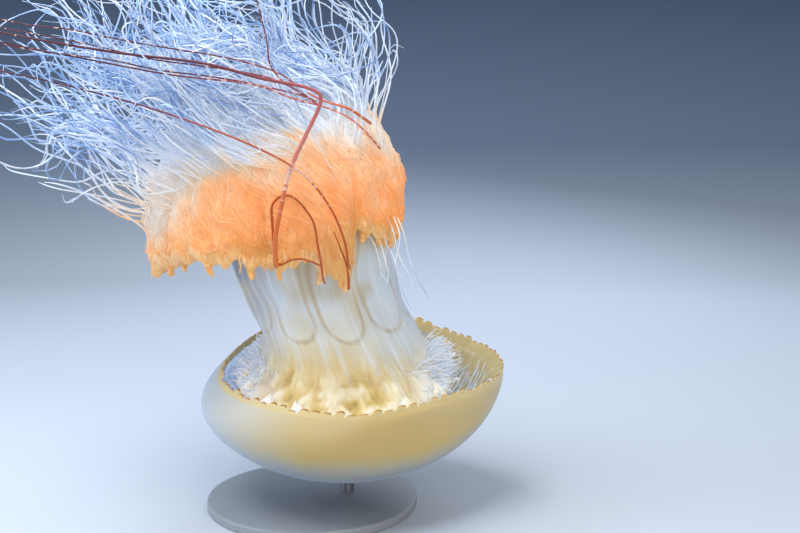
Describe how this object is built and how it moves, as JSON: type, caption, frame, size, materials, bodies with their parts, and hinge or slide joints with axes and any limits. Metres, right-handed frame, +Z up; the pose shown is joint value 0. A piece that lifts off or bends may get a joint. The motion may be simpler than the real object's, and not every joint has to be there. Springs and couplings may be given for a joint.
{
  "type": "nomura's jellyfish",
  "caption": "Still, life-size Nomura's jellyfish, bell down and frilled mouth arms up with long trailing filaments, on a plain round display stand.",
  "frame": {"origin": "middle of the underside of the stand's base", "axes": "+Z up, from the base through the bell to the mouth arms; the filaments trail towards -X and up; the bell's opening leans towards -Y"},
  "size_m": [0.6062, 0.3814, 0.6622],
  "materials": {
    "bell_jelly": "cream jelly, wet and smooth, cast in clear resin",
    "lappet_margin": "thin brown-edged lappets",
    "column_jelly": "clear bluish jelly",
    "scapulet_frill": "fine cream frill",
    "mouth_frill": "soft orange frill",
    "filament": "thin blue-white threads",
    "whip": "smooth red-brown strand",
    "stand_paint": "grey powder coat",
    "stand_steel": "brushed"
  },
  "bodies": {
    "root": {"bell": "bell_jelly", "lappets_1": "lappet_margin", "lappets_2": "lappet_margin", "lappets_3": "lappet_margin", "lappets_4": "lappet_margin", "lappets_5": "lappet_margin", "lappets_6": "lappet_margin", "lappets_7": "lappet_margin", "lappets_8": "lappet_margin", "column": "column_jelly", "scapulets_1": "scapulet_frill", "scapulets_2": "scapulet_frill", "scapulets_3": "scapulet_frill", "scapulets_4": "scapulet_frill", "scapulets_5": "scapulet_frill", "scapulets_6": "scapulet_frill", "scapulets_7": "scapulet_frill", "scapulets_8": "scapulet_frill", "arm_1": "mouth_frill", "arm_2": "mouth_frill", "arm_3": "mouth_frill", "arm_4": "mouth_frill", "arm_5": "mouth_frill", "arm_6": "mouth_frill", "arm_7": "mouth_frill", "arm_8": "mouth_frill", "filaments_1_outer": "filament", "filaments_1_middle": "filament", "filaments_1_inner": "filament", "filaments_2_outer": "filament", "filaments_2_middle": "filament", "filaments_2_inner": "filament", "filaments_3_outer": "filament", "filaments_3_middle": "filament", "filaments_3_inner": "filament", "filaments_4_outer": "filament", "filaments_4_middle": "filament", "filaments_4_inner": "filament", "filaments_5_outer": "filament", "filaments_5_middle": "filament", "filaments_5_inner": "filament", "filaments_6_outer": "filament", "filaments_6_middle": "filament", "filaments_6_inner": "filament", "filaments_7_outer": "filament", "filaments_7_middle": "filament", "filaments_7_inner": "filament", "filaments_8_outer": "filament", "filaments_8_middle": "filament", "filaments_8_inner": "filament", "whip_1_length_1": "whip", "whip_1_length_2": "whip", "whip_1_length_3": "whip", "whip_2_length_1": "whip", "whip_2_length_2": "whip", "whip_2_length_3": "whip", "stand_base": "stand_paint", "stand_cup": "stand_paint", "stand_post": "stand_steel"}
  },
  "joints": []
}
